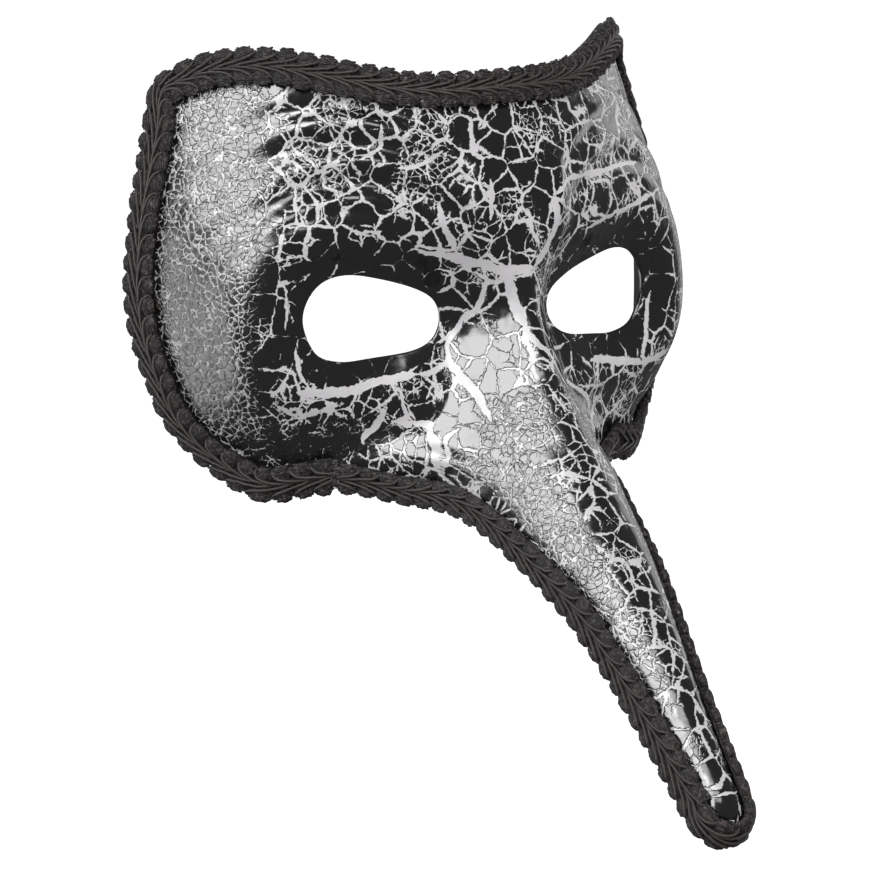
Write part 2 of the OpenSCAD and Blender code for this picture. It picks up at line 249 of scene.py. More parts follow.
def per_point(piece, name, values):
    """Stores a number, or a vector, for each point."""
    values = np.asarray(values, np.float32)
    kind, field = ("FLOAT", "value") if values.ndim == 1 else ("FLOAT_VECTOR", "vector")
    piece.data.attributes.new(name, kind, "POINT").data.foreach_set(field, values.ravel())


def quad_rows(first, count, sides):
    """Quads between count closed rings of points that follow one another from first on."""
    return [
        [first + i * sides + j, first + i * sides + (j + 1) % sides,
         first + (i + 1) * sides + (j + 1) % sides, first + (i + 1) * sides + j]
        for i in range(count - 1) for j in range(sides)
    ]


def closed_tube(first, count, sides):
    """The same, with both ends closed."""
    last = first + (count - 1) * sides
    ends = [[first + j for j in range(sides - 1, -1, -1)], [last + j for j in range(sides)]]
    return quad_rows(first, count, sides) + ends


def length_along(path):
    """Distance from the start to each point of a path."""
    return np.concatenate([[0], np.cumsum(np.linalg.norm(np.diff(path, axis=0), axis=1))])


class Tubes:
    """Many round tubes gathered into one mesh, with a UV of (length in mm, turn round)."""

    def __init__(self, sides):
        self.sides = sides
        self.points, self.faces, self.uvs, self.count = [], [], [], 0

    def add(self, path, side, radius):
        """path (n,3), side (n,3) a rough normal, radius a number or n numbers."""
        t = unit(np.gradient(path, axis=0))
        n = unit(side - (side * t).sum(-1, keepdims=True) * t)
        b = np.cross(t, n)
        k, m = len(path), self.sides
        r = np.broadcast_to(np.asarray(radius, float), (k,))[:, None, None]
        a = 2 * math.pi * np.arange(m) / m
        ring = np.cos(a)[None, :, None] * n[:, None] + np.sin(a)[None, :, None] * b[:, None]
        self.points.append((path[:, None] + r * ring).reshape(-1, 3))
        self.faces += closed_tube(self.count, k, m)
        run = length_along(path)
        for u0, u1 in zip(run[:-1], run[1:]):
            for j in range(m):
                v0, v1 = j / m, (j + 1) / m
                self.uvs += [u0, v0, u0, v1, u1, v1, u1, v0]
        self.uvs += [0.0, 0.0] * m + [float(run[-1]), 0.0] * m
        self.count += k * m

    def add_plain(self, points, faces):
        """Points and faces without a thread, put in behind the tubes."""
        self.points.append(points)
        self.faces += [[i + self.count for i in f] for f in faces]
        self.uvs += [0.0, 0.0] * sum(len(f) for f in faces)
        self.count += len(points)

    def piece(self, name):
        made = make_mesh(name, np.concatenate(self.points), self.faces)
        layer = made.data.uv_layers.new(name="thread")
        layer.data.foreach_set("uv", np.array(self.uvs, np.float32))
        return made


def strip(a, b):
    """Quads between two closed rings of points."""
    return np.stack([a, np.roll(a, -1), np.roll(b, -1), b], 1)


def spline(points, steps, closed=False):
    """Smooth curve through a list of points, steps points for each stretch."""
    p = np.asarray(points, float)
    p = np.concatenate([p[-1:], p, p[:2]]) if closed else extend(p)
    w = [x[:, None] for x in four(np.arange(steps) / steps)]
    run = [sum(w[m] * p[k + m] for m in range(4)) for k in range(len(p) - 3)]
    return np.concatenate(run if closed else run + [p[-2:-1]])


# ---- the shell ----
# How many steps the grid takes between neighbouring columns and rows of the cage.
STEPS_U = (8, 8, 10, 18, 20, 17, 20)
STEPS_V = (16, 18, 19, 15, 13, 15, 13, 12, 11, 11, 10, 11, 11, 12, 10, 4, 4, 4)
# x and z round the right eye opening
EYE_PTS = [
    (49.9, -1), (48.8, 5), (45, 9.3), (39, 10.7), (31, 9.3), (22, 6.4), (16.8, 3),
    (15.4, -1.6), (17.6, -6.2), (23, -8.9), (32, -10.3), (40, -10.8), (46.5, -8.3),
]
EYE_MID = np.array([32.5, -0.4])
EYE_STEPS = 12  # points for each stretch of that line
EYE_GUESS_UV = (3.6, 3.2)
EYE_MARGIN = 2  # grid cells cleared round an eye opening
EYE_RINGS = 6
HOLE_POINTS = 48
HOLE_RINGS = 2
RING_EASE = 1.3  # above 1, the rings lie closer together at the opening
LIP_STEPS = 6
NEWTON_ROUNDS = 12
NEWTON_CAP = 0.3


def grid_lines(steps):
    return np.concatenate([[0.0]] + [i + np.arange(1, n + 1) / n for i, n in enumerate(steps)])


def uv_at(x, z, u, v):
    """Newton search for the surface point that stands at (x, z), from a first guess."""
    h = 1e-3
    for _ in range(NEWTON_ROUNDS):
        p, pu, pv = (skins(a, b)[0][..., [0, 2]] for a, b in ((u, v), (u + h, v), (u, v + h)))
        du, dv = (pu - p) / h, (pv - p) / h
        e = np.stack([x, z], -1) - p
        det = du[..., 0] * dv[..., 1] - du[..., 1] * dv[..., 0]
        by_u = (e[..., 0] * dv[..., 1] - e[..., 1] * dv[..., 0]) / det
        by_v = (du[..., 0] * e[..., 1] - du[..., 1] * e[..., 0]) / det
        u = u + np.clip(by_u, -NEWTON_CAP, NEWTON_CAP)
        v = v + np.clip(by_v, -NEWTON_CAP, NEWTON_CAP)
    return u, v


def ring_round(i0, i1, j0, j1):
    """Rows and columns of the grid points round a block, in order."""
    ring = [(i0, j) for j in range(j0, j1)] + [(i, j1) for i in range(i0, i1)]
    ring += [(i1, j) for j in range(j1, j0, -1)] + [(i, j0) for i in range(i1, i0, -1)]
    return np.array(ring).T


class ShellBuilder:
    """One grid for both skins of the shell, with its eye openings and strap holes let in."""

    def __init__(self):
        half_u = grid_lines(STEPS_U)
        self.gu = np.concatenate([-half_u[:0:-1], half_u])
        self.gv = grid_lines(STEPS_V)
        self.w, self.h = len(self.gu), len(self.gv)
        uu, vv = np.meshgrid(self.gu, self.gv)
        self.u, self.v = [uu.ravel()], [vv.ravel()]
        self.count = uu.size
        self.quads = []
        self.lips = []
        self.hole = np.zeros((self.h - 1, self.w - 1), bool)

    def eye(self, sign):
        line = spline(EYE_PTS, EYE_STEPS, closed=True)
        lx, lz = line[:, 0] * sign, line[:, 1]
        u0, v0 = EYE_GUESS_UV
        lu, lv = uv_at(lx, lz, np.full(len(lx), u0 * sign), np.full(len(lx), v0))
        line_angle = np.arctan2(line[:, 1] - EYE_MID[1], line[:, 0] - EYE_MID[0])
        self.opening(lu, lv, line_angle, EYE_MARGIN, EYE_RINGS, lambda at: np.arctan2(
            at[:, 2] - EYE_MID[1], at[:, 0] * sign - EYE_MID[0]))

    def strap_hole(self, sign):
        u0, v0, centre, axis = eyelet_spot()
        pu, pv = slopes(u0, v0, 0.01)
        ex = unit(pu - axis * pu.dot(axis))
        ey = np.cross(axis, ex)
        turn = np.linspace(-math.pi, math.pi, HOLE_POINTS, endpoint=False)
        round_line = (STRAP_HOLE_R + LIP_W) * np.stack([np.cos(turn), np.sin(turn)])
        flat = np.array([[pu.dot(ex), pv.dot(ex)], [pu.dot(ey), pv.dot(ey)]])
        d = np.linalg.solve(flat, round_line)
        mirror = np.array([sign, 1, 1])
        self.opening((u0 + d[0]) * sign, v0 + d[1], turn, 0, HOLE_RINGS, lambda at: np.arctan2(
            (at * mirror - centre) @ ey, (at * mirror - centre) @ ex))

    def opening(self, lu, lv, line_angle, margin, steps, angle_of):
        """Clears the grid round a closed line (lu, lv) and fills in up to the line."""
        j0 = np.searchsorted(self.gu, lu.min()) - 1 - margin
        j1 = np.searchsorted(self.gu, lu.max()) + margin
        i0 = np.searchsorted(self.gv, lv.min()) - 1 - margin
        i1 = np.searchsorted(self.gv, lv.max()) + margin
        self.hole[i0:i1, j0:j1] = True
        i, j = ring_round(i0, i1, j0, j1)
        ids, bu, bv = i * self.w + j, self.gu[j], self.gv[i]
        angle = angle_of(skins(bu, bv)[0])
        tu = np.interp(angle, line_angle, lu, period=2 * math.pi)
        tv = np.interp(angle, line_angle, lv, period=2 * math.pi)
        last = ids
        for k in range(1, steps + 1):
            t = 1 - (1 - k / steps) ** RING_EASE
            self.u.append(bu + (tu - bu) * t)
            self.v.append(bv + (tv - bv) * t)
            new = np.arange(self.count, self.count + len(ids))
            self.count += len(ids)
            self.quads += strip(last, new).tolist()
            last = new
        self.lips.append((last, True))

    def build(self):
        for sign in (1, -1):
            self.eye(sign)
            self.strap_hole(sign)
        w = self.w
        for i in range(self.h - 1):
            for j in range(w - 1):
                if not self.hole[i, j]:
                    a = i * w + j
                    self.quads.append([a, a + w, a + w + 1, a + 1])
        i, j = ring_round(0, self.h - 1, 0, w - 1)
        self.lips.append((i * w + j, False))
        u, v = np.concatenate(self.u), np.concatenate(self.v)
        outer, inner, n = skins(u, v)
        return u, v, outer, inner, n


def build_shell():
    """The shell's piece, and for each of its points u, v and the place in mm. Material 0 is the
    lacquer, material 1 the wearer's side."""
    b = ShellBuilder()
    u, v, outer, inner, n = b.build()
    count = len(u)
    points = [outer, inner]
    src = [np.arange(count), np.arange(count)]
    quads = np.array(b.quads)
    used = np.isin(np.arange(count), quads)
    # each quad is turned so that it faces outward
    p0, p1, p2 = (outer[quads[:, k]] for k in range(3))
    turned = (np.cross(p1 - p0, p2 - p0) * n[quads[:, 0]]).sum(1) < 0
    quads[turned] = quads[turned, ::-1]
    faces = [np.stack([quads, quads[:, ::-1] + count], 1).reshape(-1, 4)]
    total = 2 * count
    for ids, is_opening in b.lips:
        p = outer[ids] - n[ids] * SHELL_T / 2
        along = unit(np.roll(p, -1, 0) - np.roll(p, 1, 0))
        away = unit(np.cross(along, n[ids]))
        middle = p.mean(0)
        if is_opening:
            away *= np.where(((p - middle) * away).sum(1) > 0, -1, 1)[:, None]
        else:
            # a point a little way in from the outer edge
            row = v[ids] - (v[ids] > NR - 1.5) * 0.1 + (v[ids] < 0.5) * 0.1
            within = surf(u[ids] * 0.985, np.clip(row, 0, NR - 1))
            away *= np.where(((p - within) * away).sum(1) < 0, -1, 1)[:, None]
        rings = [ids]
        for k in range(1, LIP_STEPS):
            a = math.pi / 2 - math.pi * k / LIP_STEPS
            ring = p + away * (LIP_W * math.cos(a)) + n[ids] * (SHELL_T / 2 * math.sin(a))
            points.append(ring)
            src.append(ids)
            rings.append(np.arange(total, total + len(ids)))
            total += len(ids)
        rings.append(ids + count)
        everything = np.concatenate(points)
        for r0, r1 in zip(rings[:-1], rings[1:]):
            a, c, d = everything[r0[0]], everything[r0[1]], everything[r1[0]]
            flip = np.dot(np.cross(c - a, d - a), away[0] + (a - p[0])) < 0
            faces.append(strip(r0, r1)[:, ::-1 if flip else 1])
    everything = np.concatenate(points)
    source = np.concatenate(src)
    keep = np.concatenate([used, used, np.ones(total - 2 * count, bool)])
    new_id = np.cumsum(keep) - 1
    faces = new_id[np.concatenate(faces)]
    piece = make_mesh("mask_shell", everything[keep], faces.tolist())
    kinds = np.zeros(len(faces), np.int32)
    kinds[1:2 * len(quads):2] = 1
    piece.data.polygons.foreach_set("material_index", kinds)
    return piece, u[source][keep], v[source][keep], everything[keep]


# ---- cracks in the lacquer ----
# The wide ones: each is a line of (u, v) on the shell, and its width in mm.
RIFTS = [
    ([(-3.05, 2.3), (-2.4, 2.4), (-1.4, 2.5), (-0.6, 2.6), (0.25, 2.6)], 2.6),
    ([(-0.8, 2.6), (-0.65, 2.85), (-0.55, 3.15), (-0.4, 3.4)], 2.4),
    ([(-0.4, 3.4), (-0.1, 3.7), (0.5, 4.0), (0.9, 4.75)], 1.5),
    ([(-1.2, 1.45), (-1.3, 1.75), (-1.4, 1.95)], 1.5),
    ([(-2.7, 1.7), (-2.7, 2.0), (-2.5, 2.2), (-2.4, 2.3)], 1.6),
    ([(1.2, 1.7), (1.3, 2.1), (1.05, 2.3), (0.25, 2.6)], 1.9),
    ([(1.2, 1.7), (2.15, 1.55), (3.55, 1.6), (4.65, 1.65)], 1.2),
    ([(3.2, 2.2), (3.75, 2.15), (4.3, 2.1), (4.7, 2.05)], 1.2),
    ([(-3.4, 0.75), (-3.5, 1.05), (-3.8, 1.2)], 1.1),
    ([(-3.35, 1.3), (-2.95, 1.25), (-2.35, 1.05)], 1.0),
    ([(-4.7, 4.2), (-4.45, 4.35), (-4.2, 4.4), (-3.95, 4.3), (-3.75, 4.25), (-3.35, 4.1)], 2.1),
    ([(-3.35, 4.1), (-3.05, 4.0), (-2.8, 3.75), (-2.75, 3.45), (-2.25, 3.15),
      (-1.7, 3.0), (-1.45, 2.65)], 1.4),
    ([(-2.8, 3.75), (-2.4, 4.2), (-2.15, 4.65), (-2.05, 5.4)], 2.3),
    ([(-4.65, 6.6), (-4.0, 5.95), (-3.75, 5.0)], 1.9),
    ([(-3.7, 5.8), (-3.4, 5.85), (-3.2, 6.05), (-3.5, 7.25), (-5.2, 8.05)], 2.2),
    ([(-4.65, 3.45), (-4.65, 3.85), (-4.6, 4.1)], 1.2),
    ([(-4.95, 4.35), (-4.8, 4.7), (-4.7, 5.0)], 0.9),
    ([(-3.6, 4.4), (-3.5, 5.15), (-3.4, 5.85)], 1.0),
    ([(-2.7, 5.95), (-3.4, 7.45), (-5.15, 8.1)], 1.2),
    ([(3.7, 4.3), (4.2, 4.4), (4.55, 4.45), (5.0, 4.2)], 1.8),
    ([(4.55, 4.45), (4.6, 3.55), (4.65, 3.15)], 1.2),
    ([(0.65, 3.75), (3.0, 4.7), (4.05, 6.85)], 1.1),
    ([(-2.4, 2.3), (-3.05, 2.3), (-3.35, 2.25)], 1.0),
    ([(-4.75, 3.15), (-4.75, 2.75), (-4.85, 2.55)], 0.8),
]
RIFT_STEP = 0.25
RIFT_JITTER = 0.45
RIFT_REACH = 8.0  # distances beyond this are all kept as this


def wobble(x, seed):
    """Smooth noise from -1 to 1 along a line."""
    return np.array([noise.noise(Vector((a, seed * 7.13, 0.37))) for a in np.atleast_1d(x)])


def rift_samples():
    points, widths = [], []
    for k, (line, width) in enumerate(RIFTS):
        uv = spline(line, 40)
        p = skins(uv[:, 0], uv[:, 1])[0]
        run = length_along(p)
        s = np.arange(0, run[-1], RIFT_STEP)
        q = np.stack([np.interp(s, run, p[:, c]) for c in range(3)], -1)
        n = out_dir(np.interp(s, run, uv[:, 0]), np.interp(s, run, uv[:, 1]))
        t = unit(np.gradient(q, axis=0))
        across = np.cross(t, n)
        shift = RIFT_JITTER * (wobble(s / 3.1, k) + 0.5 * wobble(s / 1.2, k + 50))
        q = q + across * shift[:, None]
        end = np.minimum(s, s[-1] - s)
        taper = 0.35 + 0.65 * ramp(end / 3.0)
        points.append(q)
        widths.append(width / 2 * taper * (1 + 0.45 * wobble(s / 2.3, k + 100)))
    return np.concatenate(points), np.concatenate(widths)


def paint_rifts(piece, co):
    """Per vertex: the way to the nearest wide crack's middle line, its distance and half width."""
    pts, half_w = rift_samples()
    tree = kdtree.KDTree(len(pts))
    for i, p in enumerate(pts):
        tree.insert(p, i)
    tree.balance()
    found = [tree.find(Vector(p)) for p in co]
    idx = np.array([f[1] for f in found])
    vec = pts[idx] - co
    dist = np.array([f[2] for f in found])
    far = dist > RIFT_REACH
    vec[far] = vec[far] / dist[far][:, None] * RIFT_REACH
    per_point(piece, "rift", vec)
    per_point(piece, "rift_dist", np.minimum(dist, RIFT_REACH))
    per_point(piece, "rift_half", half_w[idx])


def paint_zones(piece, u, v, co):
    """How fine the crackle is, and where the lacquer stayed nearly whole. The limits of each
    zone are columns (a) and rows (v) of the cage."""
    a = np.abs(u)
    r = socket_radius(co)
    flap = ramp((a - 4.7) / 0.6) * ramp((5.8 - v) / 0.8)
    cheek = ramp((a - 3.4) / 0.6) * ramp((v - 4.9) / 0.5) * ramp((7.2 - v) / 0.6) * 0.75 * (u < 0)
    flank = ramp((a - 0.9) / 0.6) * ramp((4.6 - a) / 1.0) * ramp((v - 6.9) / 0.8)
    flank *= 1 - 0.6 * ramp((v - 9.5) / 2.5)
    bridge = ramp((2.5 - a) / 0.5) * ramp((a - 0.3) / 0.3) * ramp((v - 4.2) / 0.5)
    bridge *= ramp((7.6 - v) / 0.8)
    fine = np.maximum.reduce([flap, cheek, flank, bridge])
    socket = ramp((0.92 - r) / 0.12) * ramp((np.abs(co[:, 0]) - 13) / 5)
    under = ramp((a - 2.2) / 0.4) * ramp((3.6 - a) / 0.5) * ramp((v - 4.6) / 0.4)
    under *= ramp((7.2 - v) / 0.6)
    beside = hump((a - 1.75) / 0.5) * hump((v - 4.0) / 0.5)
    calm = np.maximum.reduce([socket, under, beside]) * (1 - flap)
    per_point(piece, "fine", fine * (1 - calm * 0.8))
    per_point(piece, "calm", calm)


# ---- material tools ----
class Nodes:
    """Short forms for building a node material."""

    def __init__(self, name):
        self.mat = bpy.data.materials.new(name)
        self.mat.use_nodes = True
        self.tree = self.mat.node_tree
        self.bsdf = self.tree.nodes["Principled BSDF"]
        place = self.node("TexCoord")
        scale = self.node("VectorMath")
        scale.operation = "SCALE"
        scale.inputs["Scale"].default_value = 1 / MM
        self.link(place.outputs["Object"], scale.inputs[0])
        self.mm = scale.outputs[0]

    def node(self, kind):
        return self.tree.nodes.new("ShaderNode" + kind)

    def link(self, a, b):
        self.tree.links.new(a, b)

    def put(self, socket, value):
        if isinstance(value, bpy.types.NodeSocket):
            self.link(value, socket)
        else:
            socket.default_value = value

    def math(self, op, a, b=0.0, c=0.0):
        n = self.node("Math")
        n.operation = op
        for k, x in enumerate((a, b, c)):
            self.put(n.inputs[k], x)
        return n.outputs[0]

    def madd(self, a, b, c):
        return self.math("MULTIPLY_ADD", a, b, c)

    def vec(self, op, a, b=(0, 0, 0), s=None):
        n = self.node("VectorMath")
        n.operation = op
        self.put(n.inputs[0], a)
        if s is None:
            self.put(n.inputs[1], b)
        else:
            self.put(n.inputs["Scale"], s)
        return n.outputs["Value"] if op in ("LENGTH", "DOT_PRODUCT") else n.outputs[0]

    def noise(self, size, detail=2.0, rough=0.5, color=False):
        """Noise of about that size in mm, from 0 to 1."""
        n = self.node("TexNoise")
        self.link(self.mm, n.inputs["Vector"])
        n.inputs["Scale"].default_value = 1 / size
        n.inputs["Detail"].default_value = detail
        n.inputs["Roughness"].default_value = rough
        return n.outputs["Color"] if color else n.outputs["Fac"]

    def warp(self, size, detail, rough=0.5):
        """Noise as a vector, each part from -0.5 to 0.5."""
        return self.vec("SUBTRACT", self.noise(size, detail, rough, color=True), (0.5, 0.5, 0.5))

    def cells(self, size, at, feature="DISTANCE_TO_EDGE"):
        n = self.node("TexVoronoi")
        n.feature = feature
        self.link(at, n.inputs["Vector"])
        n.inputs["Scale"].default_value = 1 / size
        return n

    def edge(self, size, at):
        """Distance in mm to the nearest edge between cells of that size."""
        return self.math("MULTIPLY", self.cells(size, at).outputs["Distance"], size)

    def attribute(self, name, vector=False):
        n = self.node("Attribute")
        n.attribute_name = name
        return n.outputs["Vector"] if vector else n.outputs["Fac"]

    def step(self, x, low, high, out_low=0.0, out_high=1.0):
        n = self.node("MapRange")
        n.interpolation_type = "SMOOTHSTEP"
        self.put(n.inputs["Value"], x)
        n.inputs["From Min"].default_value = low
        n.inputs["From Max"].default_value = high
        n.inputs["To Min"].default_value = out_low
        n.inputs["To Max"].default_value = out_high
        return n.outputs["Result"]

    def drift(self, size, detail, low, high):
        """A value that drifts between low and high from place to place."""
        return self.step(self.noise(size, detail), 0.3, 0.7, low, high)

    def mix(self, fac, a, b):
        n = self.node("Mix")
        n.data_type = "RGBA"
        self.put(n.inputs["Factor"], fac)
        for socket, x in ((n.inputs[6], a), (n.inputs[7], b)):
            self.put(socket, x if isinstance(x, bpy.types.NodeSocket) else (*x, 1.0))
        return n.outputs[2]

    def bump(self, height, depth):
        """depth is what a height of 1 stands for, in mm."""
        n = self.node("Bump")
        n.inputs["Strength"].default_value = 1.0
        n.inputs["Distance"].default_value = depth * MM
        self.link(height, n.inputs["Height"])
        return n.outputs["Normal"]

    def set(self, name, value):
        self.put(self.bsdf.inputs[name], value)

    def done(self, color, rough, normal):
        self.set("Base Color", color)
        self.set("Roughness", rough)
        self.set("Normal", normal)
        return self.mat


def net(m, size, at, half, *changes):
    """Distance in mm to the cracks between cells of that size. half is their half width, and
    each change adds to it a zone times a number."""
    for zone, by in changes:
        half = m.madd(zone, by, half)
    return m.math("SUBTRACT", m.edge(size, at), half)


def crackle_lacquer():
    """Glossy black islands over an off-white coat that shows in the cracks."""
    m = Nodes("crackle_lacquer")
    bend, jag = m.warp(6.0, 1.0), m.warp(1.1, 2.0, 0.6)
    at = m.vec("ADD", m.mm, m.vec("SCALE", bend, s=1.7))
    at = m.vec("ADD", at, jag)
    fine, calm = m.attribute("fine"), m.attribute("calm")
    patch = m.noise(9.0, 1.0)
    width = m.noise(3.4, 1.0)
    swell = m.madd(width, 2.6, -0.75)

    some = m.step(patch, 0.38, 0.54, -0.45, 0.04)
    clear_big = net(m, 7.2, at, m.madd(swell, 0.34, 0.07), (calm, -0.30), (fine, -0.34))
    clear_mid = net(m, 3.8, at, m.madd(swell, 0.17, some), (calm, -0.6), (fine, -0.2))

    fine_at = m.vec("ADD", m.mm, m.vec("SCALE", bend, s=1.8))
    fine_at = m.vec("ADD", fine_at, m.vec("SCALE", jag, s=0.6))
    thin = m.madd(fine, 0.50, -0.5)
    stray = m.step(m.noise(13.0, 1.0), 0.52, 0.62, -0.5, 0.0)
    stray = m.madd(calm, -0.6, stray)
    thin = m.madd(width, 0.12, m.math("MAXIMUM", thin, stray))
    clear_thin = net(m, 1.75, fine_at, thin)

    lone = m.vec("LENGTH", m.vec("ADD", m.attribute("rift", True), m.vec("SCALE", jag, s=0.9)))
    reach = m.math("MAXIMUM", lone, m.math("ADD", m.attribute("rift_dist"), -0.75))
    clear_rift = m.math("SUBTRACT", reach, m.attribute("rift_half"))

    clear = m.math("MINIMUM", m.math("MINIMUM", clear_big, clear_mid),
                   m.math("MINIMUM", clear_thin, clear_rift))
    ragged = m.math("SUBTRACT", m.noise(0.8, 2.0), 0.5)
    clear = m.madd(ragged, 0.44, clear)
    crack = m.step(clear, -0.03, 0.05, 1.0, 0.0)
    island = m.step(clear, -0.06, 0.26)

    tone = m.noise(2.0, 3.0)
    white = m.mix(tone, (0.60, 0.58, 0.60), (0.76, 0.74, 0.76))
    black = m.mix(m.noise(5.0, 2.0), (0.0045, 0.0045, 0.0055), (0.009, 0.0085, 0.010))
    rough = m.drift(2.5, 3.0, 0.09, 0.17)
    rough = m.madd(fine, 0.10, rough)
    rough = m.madd(crack, 0.22, rough)
    m.set("Specular IOR Level", 1.0)
    peel = m.noise(4.5, 1.0)
    grain = m.noise(0.7, 2.0)
    height = m.madd(peel, 1.3, m.math("MULTIPLY", island, 0.7))
    rougher = m.madd(fine, 0.30, 0.05)
    height = m.madd(grain, rougher, height)
    return m.done(m.mix(crack, black, white), rough, m.bump(height, 0.12))


def shell_inside():
    """Bare satin plastic on the wearer's side."""
    m = Nodes("bare_plastic")
    cloud = m.noise(14.0, 3.0)
    color = m.mix(cloud, (0.014, 0.014, 0.015), (0.030, 0.029, 0.030))
    grain = m.madd(m.noise(0.5, 3.0), 0.4, m.noise(6.0, 1.0))
    return m.done(color, m.drift(3.0, 3.0, 0.38, 0.55), m.bump(grain, 0.10))


def boucle_yarn():
    """Crimped, fluffy dark yarn, with rare pale specks in its colour that are painted glints of
    glitter.
    """
    m = Nodes("boucle_yarn")
    fleck = m.noise(0.95, 3.0, 0.75)
    tint = m.noise(9.0, 2.0)
    dark = m.mix(tint, (0.006, 0.005, 0.005), (0.011, 0.008, 0.008))
    light = m.mix(tint, (0.075, 0.062, 0.061), (0.105, 0.080, 0.078))
    base = m.mix(m.step(fleck, 0.50, 0.60), dark, light)
    # painted glints: rare cells get a pale base colour as though catching the light; the same
    # specks are also made glossier
    painted_glints = m.step(m.cells(0.6, m.mm, "F1").outputs["Color"], 0.90, 0.95)
    color = m.mix(m.math("MULTIPLY", painted_glints, 0.5), base, (0.35, 0.33, 0.34))
    m.set("Sheen Weight", 0.06)
    m.set("Sheen Roughness", 0.5)
    rough = m.step(painted_glints, 0.0, 1.0, 0.78, 0.3)
    return m.done(color, rough, m.bump(m.noise(0.22, 3.0, 0.7), 0.10))


def thread_angle(m, turn_mm, strands):
    """Phase of a twist that runs along a tube, from the tube's own UV."""
    uv = m.node("UVMap")
    uv.uv_map = "thread"
    part = m.node("SeparateXYZ")
    m.link(uv.outputs[0], part.inputs[0])
    along = m.math("MULTIPLY", part.outputs["X"], 2 * math.pi * strands / turn_mm)
    return m.madd(part.outputs["Y"], 2 * math.pi * strands, along)


def gimp_cord():
    """Smooth wrapped cord: fine turns of rayon round a core, with painted shade darkening the
    grooves between the turns.
    """
    m = Nodes("gimp_cord")
    turns = m.math("SINE", thread_angle(m, 0.9, 3))
    tint = m.noise(7.0, 2.0)
    base = m.mix(tint, (0.044, 0.037, 0.036), (0.070, 0.057, 0.054))
    # painted shade: the colour darkens to near black where the turns dip into the grooves between
    # them
    low = m.mix(0.6, base, (0.010, 0.008, 0.008))
    color = m.mix(m.step(turns, -0.9, 0.2), low, base)
    m.set("Sheen Weight", 0.05)
    height = m.madd(m.noise(0.3, 2.0), 0.5, m.math("MULTIPLY", turns, 0.5))
    return m.done(color, m.drift(0.8, 2.0, 0.40, 0.55), m.bump(height, 0.06))


def cut_fibre():
    """Pale frayed core where the braid was cut, with painted shade darkening the grooves between
    its twists.
    """
    m = Nodes("cut_fibre")
    turns = m.math("SINE", thread_angle(m, 1.1, 2))
    base = m.mix(m.noise(0.8, 2.0), (0.10, 0.09, 0.09), (0.34, 0.32, 0.32))
    # painted shade: darker where the twists dip into the grooves between them
    color = m.mix(m.step(turns, -1.0, 0.3), (0.05, 0.045, 0.045), base)
    return m.done(color, m.drift(0.6, 2.0, 0.5, 0.7), m.bump(turns, 0.04))


def hot_glue():
    """Black craft glue, its gloss varying from place to place."""
    m = Nodes("hot_glue")
    cloud = m.noise(3.0, 3.0)
    color = m.mix(cloud, (0.006, 0.005, 0.005), (0.016, 0.013, 0.013))
    return m.done(color, m.drift(1.5, 2.0, 0.35, 0.6), m.bump(m.noise(1.8, 2.0), 0.15))


def blackened_brass():
    """Eyelet metal, its dark finish worn through in patches."""
    m = Nodes("blackened_brass")
    worn = m.step(m.noise(1.4, 4.0, 0.65), 0.48, 0.66)
    color = m.mix(worn, (0.045, 0.040, 0.036), (0.42, 0.31, 0.17))
    m.set("Metallic", 1.0)
    return m.done(color, m.drift(0.6, 3.0, 0.25, 0.45), m.bump(m.noise(0.5, 3.0), 0.02))


# ---- the band along the shell's edge ----
def walk(u, v, t, step, n, down):
    """Leaves the edge, which runs along t, square to it: n steps over the surface."""
    for _ in range(n):
        su, sv = slopes(min(u, EDGE - NEAR_EDGE), max(v, NEAR_EDGE) if down else v)
        if down:
            k = sv.dot(t) / su.dot(t)
            size = np.linalg.norm(sv - k * su)
            u, v = u - k * step / size, v + step / size
        else:
            k = su.dot(t) / sv.dot(t)
            size = np.linalg.norm(k * sv - su)
            u, v = u - step / size, v + k * step / size
    return u, v


def along(u, v, du, dv):
    return unit(surf(u + du * NUDGE, v + dv * NUDGE) - surf(u - du * NUDGE, v - dv * NUDGE))


def rib(u, v, t, step, down):
    """The point of the edge and those 4 and 8 steps in from it."""
    return [surf(u, v)] + [surf(*walk(u, v, t, step, n, down)) for n in (4, 8)]


def side_rib(v, k=1.0):
    return rib(EDGE, v, along(EDGE - NEAR_EDGE, v, 0, 1), k, False)


def brow_rib(u):
    return rib(u, 0, along(u, NEAR_EDGE, 1, 0), 1, True)


def corner_rib():
    cu, cv = (np.linalg.norm(x) for x in slopes(EDGE - 0.1, 0.1))
    return [surf(EDGE - d / cu, d / cv) for d in (0.6, RIB_D, 2 * RIB_D)]


def cap_rib(a):
    y, z, w, h = NOSE_ROWS[-1]
    c = np.array([0, y, z]) + NOSE_DN * h
    rib = []
    for e in np.radians([0, 30, 60]) * NOSE_BRAID_K:
        rib.append(
            c + np.array([w * math.sin(a) * math.cos(e), 0, 0])
            - NOSE_DN * (h * math.sin(e))
            + NOSE_AX * (CAP_LEN * math.cos(a) * math.cos(e))
        )
    return rib


def face_ribs():
    ribs = [side_rib(v) for v in np.arange(NOTCH_V - 0.03, 0.6, -0.3)]
    ribs.append(corner_rib())
    ribs += [brow_rib(u) for u in (6.3, 6, 5.6, 5.2, 4.8, 4.4, 4, 3.5, 3, 2.3, 1.5, 0.75)]
    return ribs, brow_rib(0.001)


def nose_ribs():
    ribs = [side_rib(v, NOSE_BRAID_K) for v in np.arange(NOTCH_V + 0.03, ROW_CAP + 0.001, 0.3)]
    ribs += [cap_rib(math.radians(a)) for a in (90, 70, 50, 32, 16)]
    return ribs, cap_rib(0)


